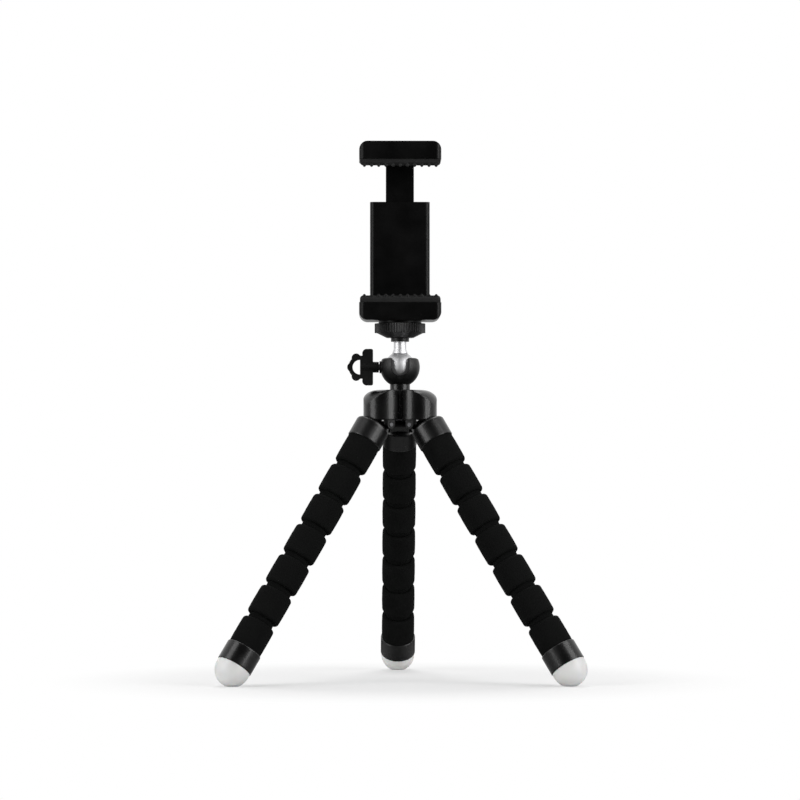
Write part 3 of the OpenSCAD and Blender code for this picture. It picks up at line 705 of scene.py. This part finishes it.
class Finish:
    """A node material on Object coordinates, with one Principled shader."""

    def __init__(self, name):
        self.material = bpy.data.materials.new(name)
        self.material.use_nodes = True
        self.nodes = self.material.node_tree.nodes
        self.links = self.material.node_tree.links
        self.shader = self.nodes["Principled BSDF"]
        self.place = self.nodes.new("ShaderNodeTexCoord").outputs["Object"]

    def set(self, **values):
        """Sets constant values on the shader's own sockets."""
        for socket, value in values.items():
            self.shader.inputs[socket.replace("_", " ")].default_value = value

    def stretched(self, scale):
        """Coordinates scaled apart along the axes."""
        mapping = self.nodes.new("ShaderNodeMapping")
        mapping.inputs["Scale"].default_value = scale
        self.links.new(self.place, mapping.inputs["Vector"])
        return mapping.outputs["Vector"]

    def noise(self, scale, detail, vector=None):
        """Cloudy noise from 0 to 1, with its scale in clouds per metre."""
        node = self.nodes.new("ShaderNodeTexNoise")
        node.inputs["Scale"].default_value = scale
        node.inputs["Detail"].default_value = detail
        self.links.new(vector or self.place, node.inputs["Vector"])
        return node.outputs["Fac"]

    def cells(self, scale):
        """Distance to the middle of small cells, with their scale in cells per metre."""
        node = self.nodes.new("ShaderNodeTexVoronoi")
        node.inputs["Scale"].default_value = scale
        self.links.new(self.place, node.inputs["Vector"])
        return node.outputs["Distance"]

    def colour(self, noise, dark, light):
        """Colours the surface between two tones."""
        ramp = self.nodes.new("ShaderNodeValToRGB")
        first, last = ramp.color_ramp.elements
        first.position = NOISE_LOW
        first.color = (*dark, 1)
        last.position = NOISE_HIGH
        last.color = (*light, 1)
        self.links.new(noise, ramp.inputs["Fac"])
        self.links.new(ramp.outputs["Color"], self.shader.inputs["Base Color"])

    def roughness(self, noise, low, high):
        """Lets the roughness vary between two values."""
        node = self.nodes.new("ShaderNodeMapRange")
        node.inputs["From Min"].default_value = NOISE_LOW
        node.inputs["From Max"].default_value = NOISE_HIGH
        node.inputs["To Min"].default_value = low
        node.inputs["To Max"].default_value = high
        self.links.new(noise, node.inputs["Value"])
        self.links.new(node.outputs["Result"], self.shader.inputs["Roughness"])

    def relief(self, heights, edge_r=0):
        """Bumps of (value, strength, depth) over edges that are rounded by edge_r."""
        normal = None
        if edge_r:
            bevel = self.nodes.new("ShaderNodeBevel")
            bevel.samples = EDGE_SAMPLES
            bevel.inputs["Radius"].default_value = edge_r
            normal = bevel.outputs["Normal"]
        for value, strength, depth in heights:
            bump = self.nodes.new("ShaderNodeBump")
            bump.inputs["Strength"].default_value = strength
            bump.inputs["Distance"].default_value = depth
            self.links.new(value, bump.inputs["Height"])
            if normal is not None:
                self.links.new(normal, bump.inputs["Normal"])
            normal = bump.outputs["Normal"]
        self.links.new(normal, self.shader.inputs["Normal"])


def tones(colour, dark, light):
    """A darker and a lighter tone of a colour."""
    return tuple(c * dark for c in colour), tuple(min(1.0, c * light) for c in colour)


def kept_as(name):
    """Makes a recipe's material when it is first asked for, and keeps it under this name."""
    def keep(recipe):
        @wraps(recipe)
        def finish(colours):
            if name not in bpy.data.materials:
                recipe(Finish(name), colours)
            return bpy.data.materials[name]
        return finish
    return keep


@kept_as("leg_foam_black")
def foam_finish(finish, colours):
    """Matte black foam: fine open pores in a soft, slightly uneven skin."""
    patches = finish.noise(scale=160, detail=4)
    pores = finish.cells(scale=1500)
    finish.colour(patches, *tones(colours.foam, dark=0.75, light=1.3))
    finish.roughness(patches, low=0.85, high=0.97)
    finish.relief([(pores, 0.35, 0.00012), (finish.noise(scale=2600, detail=2), 0.25, 0.00008)])
    finish.set(Specular_IOR_Level=0.04)


@kept_as("polished_black")
def gloss_finish(finish, colours):
    """Polished black plastic with a trace of moulding ripple and handling haze."""
    haze = finish.noise(scale=90, detail=5)
    finish.colour(haze, *tones(colours.gloss_black, dark=0.8, light=1.25))
    finish.roughness(haze, low=0.22, high=0.32)
    finish.relief([(finish.noise(scale=240, detail=1), 0.02, 0.0002)], edge_r=0.0005)
    finish.set(Specular_IOR_Level=0.4)


@kept_as("satin_black_grain")
def satin_finish(finish, colours):
    """Satin black plastic with a fine eroded grain."""
    haze = finish.noise(scale=120, detail=4)
    finish.colour(haze, *tones(colours.satin_black, dark=0.8, light=1.25))
    finish.roughness(haze, low=0.34, high=0.46)
    finish.relief([(finish.noise(scale=3200, detail=2), 0.12, 0.00006)], edge_r=0.00025)
    finish.set(Specular_IOR_Level=0.28)


@kept_as("moulded_black")
def moulded_finish(finish, colours):
    """Black plastic as it leaves the mould, a little duller than the polished hub."""
    haze = finish.noise(scale=110, detail=5)
    finish.colour(haze, *tones(colours.gloss_black, dark=0.8, light=1.25))
    finish.roughness(haze, low=0.28, high=0.38)
    finish.relief([(finish.noise(scale=1800, detail=2), 0.04, 0.00005)], edge_r=0.0004)
    finish.set(Specular_IOR_Level=0.12)


@kept_as("pad_rubber_black")
def pad_finish(finish, colours):
    """Soft black rubber, dull and a little dusty."""
    dust = finish.noise(scale=300, detail=5)
    finish.colour(dust, *tones(colours.rubber, dark=0.8, light=1.5))
    finish.roughness(dust, low=0.55, high=0.72)
    finish.relief([(finish.noise(scale=2200, detail=3), 0.15, 0.00006)])
    finish.set(Specular_IOR_Level=0.18)


@kept_as("foot_white")
def foot_finish(finish, colours):
    """Smooth white rubber, a little soiled."""
    marks = finish.noise(scale=140, detail=5)
    finish.colour(marks, *tones(colours.foot, dark=0.95, light=1.03))
    finish.roughness(marks, low=0.42, high=0.55)
    finish.relief([(finish.noise(scale=900, detail=2), 0.05, 0.0001)], edge_r=0.0003)
    finish.set(Specular_IOR_Level=0.4, Subsurface_Weight=0.1, Subsurface_Scale=0.002)


@kept_as("polished_steel")
def bright_finish(finish, colours):
    """Bright steel with a satin polish and fine turning lines."""
    lines = finish.noise(scale=60, detail=4, vector=finish.stretched((1, 1, 90)))
    finish.colour(lines, *tones(colours.bright_steel, dark=0.93, light=1.05))
    finish.roughness(lines, low=0.42, high=0.52)
    finish.relief([(lines, 0.03, 0.00005)], edge_r=0.0003)
    finish.set(Metallic=1.0)


@kept_as("plated_steel")
def steel_finish(finish, colours):
    """Plated steel of screws and springs."""
    cloud = finish.noise(scale=700, detail=4)
    finish.colour(cloud, *tones(colours.steel, dark=0.85, light=1.15))
    finish.roughness(cloud, low=0.28, high=0.42)
    finish.relief([(finish.noise(scale=4000, detail=2), 0.08, 0.00003)], edge_r=0.0001)
    finish.set(Metallic=1.0)


@kept_as("blackened_steel")
def black_steel_finish(finish, colours):
    """Blackened steel of the hinge pins."""
    cloud = finish.noise(scale=700, detail=4)
    finish.colour(cloud, *tones(colours.black_steel, dark=0.7, light=1.3))
    finish.roughness(cloud, low=0.3, high=0.45)
    finish.relief([(finish.noise(scale=4000, detail=2), 0.08, 0.00003)], edge_r=0.0001)
    finish.set(Metallic=1.0)


@kept_as("drawn_aluminium")
def wire_finish(finish, colours):
    """Drawn aluminium wire."""
    drawn = finish.noise(scale=500, detail=3)
    finish.colour(drawn, *tones(colours.wire, dark=0.85, light=1.1))
    finish.roughness(drawn, low=0.3, high=0.45)
    finish.relief([(drawn, 0.1, 0.00005)])
    finish.set(Metallic=1.0)


@kept_as("machined_brass")
def brass_finish(finish, colours):
    """Machined brass with fine turning lines."""
    lines = finish.noise(scale=80, detail=4, vector=finish.stretched((1, 1, 60)))
    finish.colour(lines, *tones(colours.brass, dark=0.85, light=1.1))
    finish.roughness(lines, low=0.2, high=0.35)
    finish.relief([(lines, 0.08, 0.00005)], edge_r=0.0001)
    finish.set(Metallic=1.0)


LEG_ENDS = [f"{side}_{piece}" for side in SIDES for piece in ("collar", "end_cap")]
HARD_NODES = (
    (gloss_finish, ["hub_shell", *LEG_ENDS]),
    (moulded_finish, ["hub_core", "lower_jaw", "upper_jaw", "spine_cover"]),
    (satin_finish, ["ball_cup", "thumb_key", "lock_wheel"]),
    (foot_finish, [f"{side}_foot" for side in SIDES]),
    (bright_finish, ["ball", "ball_stem"]),
    (steel_finish, ["thumb_screw"]),
    (black_steel_finish, ["hinge_pins"]),
    (brass_finish, ["thread_insert"]),
)


class TRIPOD_OT_hard_finishes(bpy.types.Operator):
    """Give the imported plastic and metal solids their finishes"""

    bl_idname = "tripod.hard_finishes"
    bl_label = "Hard finishes"

    def execute(self, context):
        colours = context.scene.tripod_finish
        for finish, nodes in HARD_NODES:
            for node in nodes:
                slots = frame["nodes"][node].data.materials
                slots.clear()
                slots.append(finish(colours))
        return {"FINISHED"}


class StageNodes:
    """Adds and links the nodes of the floor and the room."""

    def __init__(self, tree):
        self.nodes = tree.nodes
        self.links = tree.links

    def math(self, operation, *values):
        """Result of a sum, product or maximum of linked values."""
        node = self.nodes.new("ShaderNodeMath")
        node.operation = operation
        for socket, value in zip(node.inputs, values):
            self.links.new(value, socket)
        return node.outputs["Value"]

    def step(self, value, start, end, low, high):
        """Smooth step from low to high."""
        node = self.nodes.new("ShaderNodeMapRange")
        node.interpolation_type = "SMOOTHSTEP"
        for socket, number in (("From Min", start), ("From Max", end), ("To Min", low), ("To Max", high)):
            node.inputs[socket].default_value = number
        self.links.new(value, node.inputs["Value"])
        return node.outputs["Result"]

    def mix(self, share, first, second):
        """Shader mixed from two others."""
        node = self.nodes.new("ShaderNodeMixShader")
        self.links.new(share, node.inputs["Fac"])
        self.links.new(first, node.inputs[1])
        self.links.new(second, node.inputs[2])
        return node.outputs["Shader"]

    def place(self, output):
        """Coordinates, and how far back they lie."""
        vector = self.nodes.new("ShaderNodeTexCoord").outputs[output]
        split = self.nodes.new("ShaderNodeSeparateXYZ")
        self.links.new(vector, split.inputs["Vector"])
        return vector, split.outputs["Y"]

    def seen(self, back_share):
        """Level of white for the camera and in mirrors, and the rays that it counts for."""
        path = self.nodes.new("ShaderNodeLightPath")
        direct = self.math("MAXIMUM", path.outputs["Is Camera Ray"], path.outputs["Is Transmission Ray"])
        glossy = path.outputs["Is Glossy Ray"]
        level = self.math("MAXIMUM", direct, self.math("MULTIPLY", glossy, back_share))
        return level, self.math("MAXIMUM", direct, glossy)


FLOOR_ROUGHNESS = 0.9
FLOOR_SHEEN = 0.1
# In reflections the floor turns white over these metres behind the hub's axis,
# and the room over these parts of the direction's Y.
FLOOR_TURNS_WHITE = (0.1, 1.0)
ROOM_TURNS_WHITE = (-0.7, 0.4)
WHITE = (1, 1, 1, 1)


def floor_material(stage):
    """Pale floor that keeps the shadows near the tripod and, to the eye, fades to white further out."""
    material = bpy.data.materials.new("studio_floor")
    material.use_nodes = True
    tree = StageNodes(material.node_tree)
    paint = tree.nodes["Principled BSDF"]
    paint.inputs["Base Color"].default_value = (*stage.floor, 1)
    paint.inputs["Roughness"].default_value = FLOOR_ROUGHNESS
    paint.inputs["Specular IOR Level"].default_value = FLOOR_SHEEN
    white = tree.nodes.new("ShaderNodeEmission")
    vector, back = tree.place("Object")
    level, rays = tree.seen(tree.step(back, *FLOOR_TURNS_WHITE, stage.front, 1))
    tree.links.new(level, white.inputs["Strength"])
    reach = tree.nodes.new("ShaderNodeVectorMath")
    reach.operation = "LENGTH"
    tree.links.new(vector, reach.inputs[0])
    fade = tree.step(reach.outputs["Value"], stage.fade_start, stage.fade_end, stage.floor_lift, 1)
    share = tree.math("MULTIPLY", fade, rays)
    surface = tree.mix(share, paint.outputs["BSDF"], white.outputs["Emission"])
    tree.links.new(surface, tree.nodes["Material Output"].inputs["Surface"])
    return material


def room_light(stage):
    """White room to the eye, darker at the front in reflections and softer in the light that it gives."""
    world = bpy.data.worlds.new("studio_room")
    bpy.context.scene.world = world
    world.use_nodes = True
    tree = StageNodes(world.node_tree)
    soft = tree.nodes["Background"]
    soft.inputs["Color"].default_value = WHITE
    soft.inputs["Strength"].default_value = stage.fill
    white = tree.nodes.new("ShaderNodeBackground")
    white.inputs["Color"].default_value = WHITE
    back = tree.place("Generated")[1]
    level, rays = tree.seen(tree.step(back, *ROOM_TURNS_WHITE, stage.front, 1))
    tree.links.new(level, white.inputs["Strength"])
    surface = tree.mix(rays, soft.outputs["Background"], white.outputs["Background"])
    tree.links.new(surface, tree.nodes["World Output"].inputs["Surface"])


def soft_box(name, place, aim, size, power):
    """Rectangular soft light that points at a place."""
    deselect()
    bpy.ops.object.light_add(type="AREA", location=place)
    lamp = bpy.context.object
    lamp.name = name
    lamp.data.shape = "RECTANGLE"
    lamp.data.size, lamp.data.size_y = size
    lamp.data.energy = power
    lamp.rotation_euler = (Vector(aim) - Vector(place)).to_track_quat("-Z", "Y").to_euler()
    return lamp


SIDE_LIGHT_SIZE = (0.42, 1.0)
SIDE_LIGHT_AIM = (0, 0, 0.12)
GLINT_SIZE = (0.5, 1.0)
TOP_LIGHT_SIZE = (0.9, 0.9)
TOP_LIGHT_PLACE = (0, 0.35, 1.2)
TOP_LIGHT_AIM = (0, 0, 0)
SENSOR_WIDTH = 36
VIEW_END = 50


def place_round(turn, distance, height):
    """A place at this turn round the hub's axis, counted from the front."""
    return distance * math.sin(turn), -distance * math.cos(turn), height


class TRIPOD_OT_stage(bpy.types.Operator):
    """Set the floor, the studio light and the camera"""

    bl_idname = "tripod.stage"
    bl_label = "Stage"

    def execute(self, context):
        stage = context.scene.tripod_stage
        deselect()
        bpy.ops.mesh.primitive_plane_add(size=stage.floor_size)
        floor = name_active("studio_floor")
        floor.data.materials.append(floor_material(stage))
        room_light(stage)
        for side, way, gloss in (("left", -1, stage.left_glint), ("right", 1, stage.right_glint)):
            place = place_round(way * stage.light_turn, stage.light_distance, stage.light_height)
            soft_box(f"{side}_light", place, SIDE_LIGHT_AIM, SIDE_LIGHT_SIZE, stage.side_power)
            glint = soft_box(f"{side}_glint", place, SIDE_LIGHT_AIM, GLINT_SIZE, gloss)
            glint.visible_diffuse = False
        soft_box("top_light", TOP_LIGHT_PLACE, TOP_LIGHT_AIM, TOP_LIGHT_SIZE, stage.top_power)
        bpy.ops.object.camera_add(
            location=place_round(stage.turn, stage.distance, stage.height),
            rotation=(math.pi / 2 + stage.tilt, 0, stage.turn))
        camera = bpy.context.object
        camera.name = "front_camera"
        camera.data.lens = stage.lens
        camera.data.sensor_width = SENSOR_WIDTH
        camera.data.clip_end = VIEW_END
        context.scene.camera = camera
        context.scene.view_settings.view_transform = "Standard"
        return {"FINISHED"}


OPERATORS = (
    TRIPOD_OT_foam_beads, TRIPOD_OT_core_wires, TRIPOD_OT_pads, TRIPOD_OT_jaw_springs, TRIPOD_OT_screws,
    TRIPOD_OT_hard_finishes, TRIPOD_OT_stage,
)
SETTINGS = {
    "tripod_legs": TripodLegSettings,
    "tripod_clamp": TripodClampSettings,
    "tripod_finish": TripodFinishSettings,
    "tripod_stage": TripodStageSettings,
}


class TRIPOD_PT_panel(bpy.types.Panel):
    """Sidebar panel with the tripod's settings and steps"""

    bl_idname = "TRIPOD_PT_panel"
    bl_label = "Flexible leg tripod"
    bl_space_type = "VIEW_3D"
    bl_region_type = "UI"
    bl_category = "Tripod"

    def draw(self, context):
        for operator in OPERATORS:
            self.layout.operator(operator.bl_idname)
        for name, group in SETTINGS.items():
            box = self.layout.box()
            for prop in group.__annotations__:
                box.prop(getattr(context.scene, name), prop)


def register():
    """Registers the settings, operators and panel."""
    for cls in (*SETTINGS.values(), *OPERATORS, TRIPOD_PT_panel):
        bpy.utils.register_class(cls)
    for name, group in SETTINGS.items():
        setattr(bpy.types.Scene, name, PointerProperty(type=group))


def unregister():
    """Takes the settings, operators and panel out again."""
    for name in SETTINGS:
        delattr(bpy.types.Scene, name)
    for cls in reversed((*SETTINGS.values(), *OPERATORS, TRIPOD_PT_panel)):
        bpy.utils.unregister_class(cls)


def main():
    register()
    for operator in OPERATORS:
        group, name = operator.bl_idname.split(".")
        getattr(getattr(bpy.ops, group), name)()
    deselect()


if __name__ == "__main__":
    main()
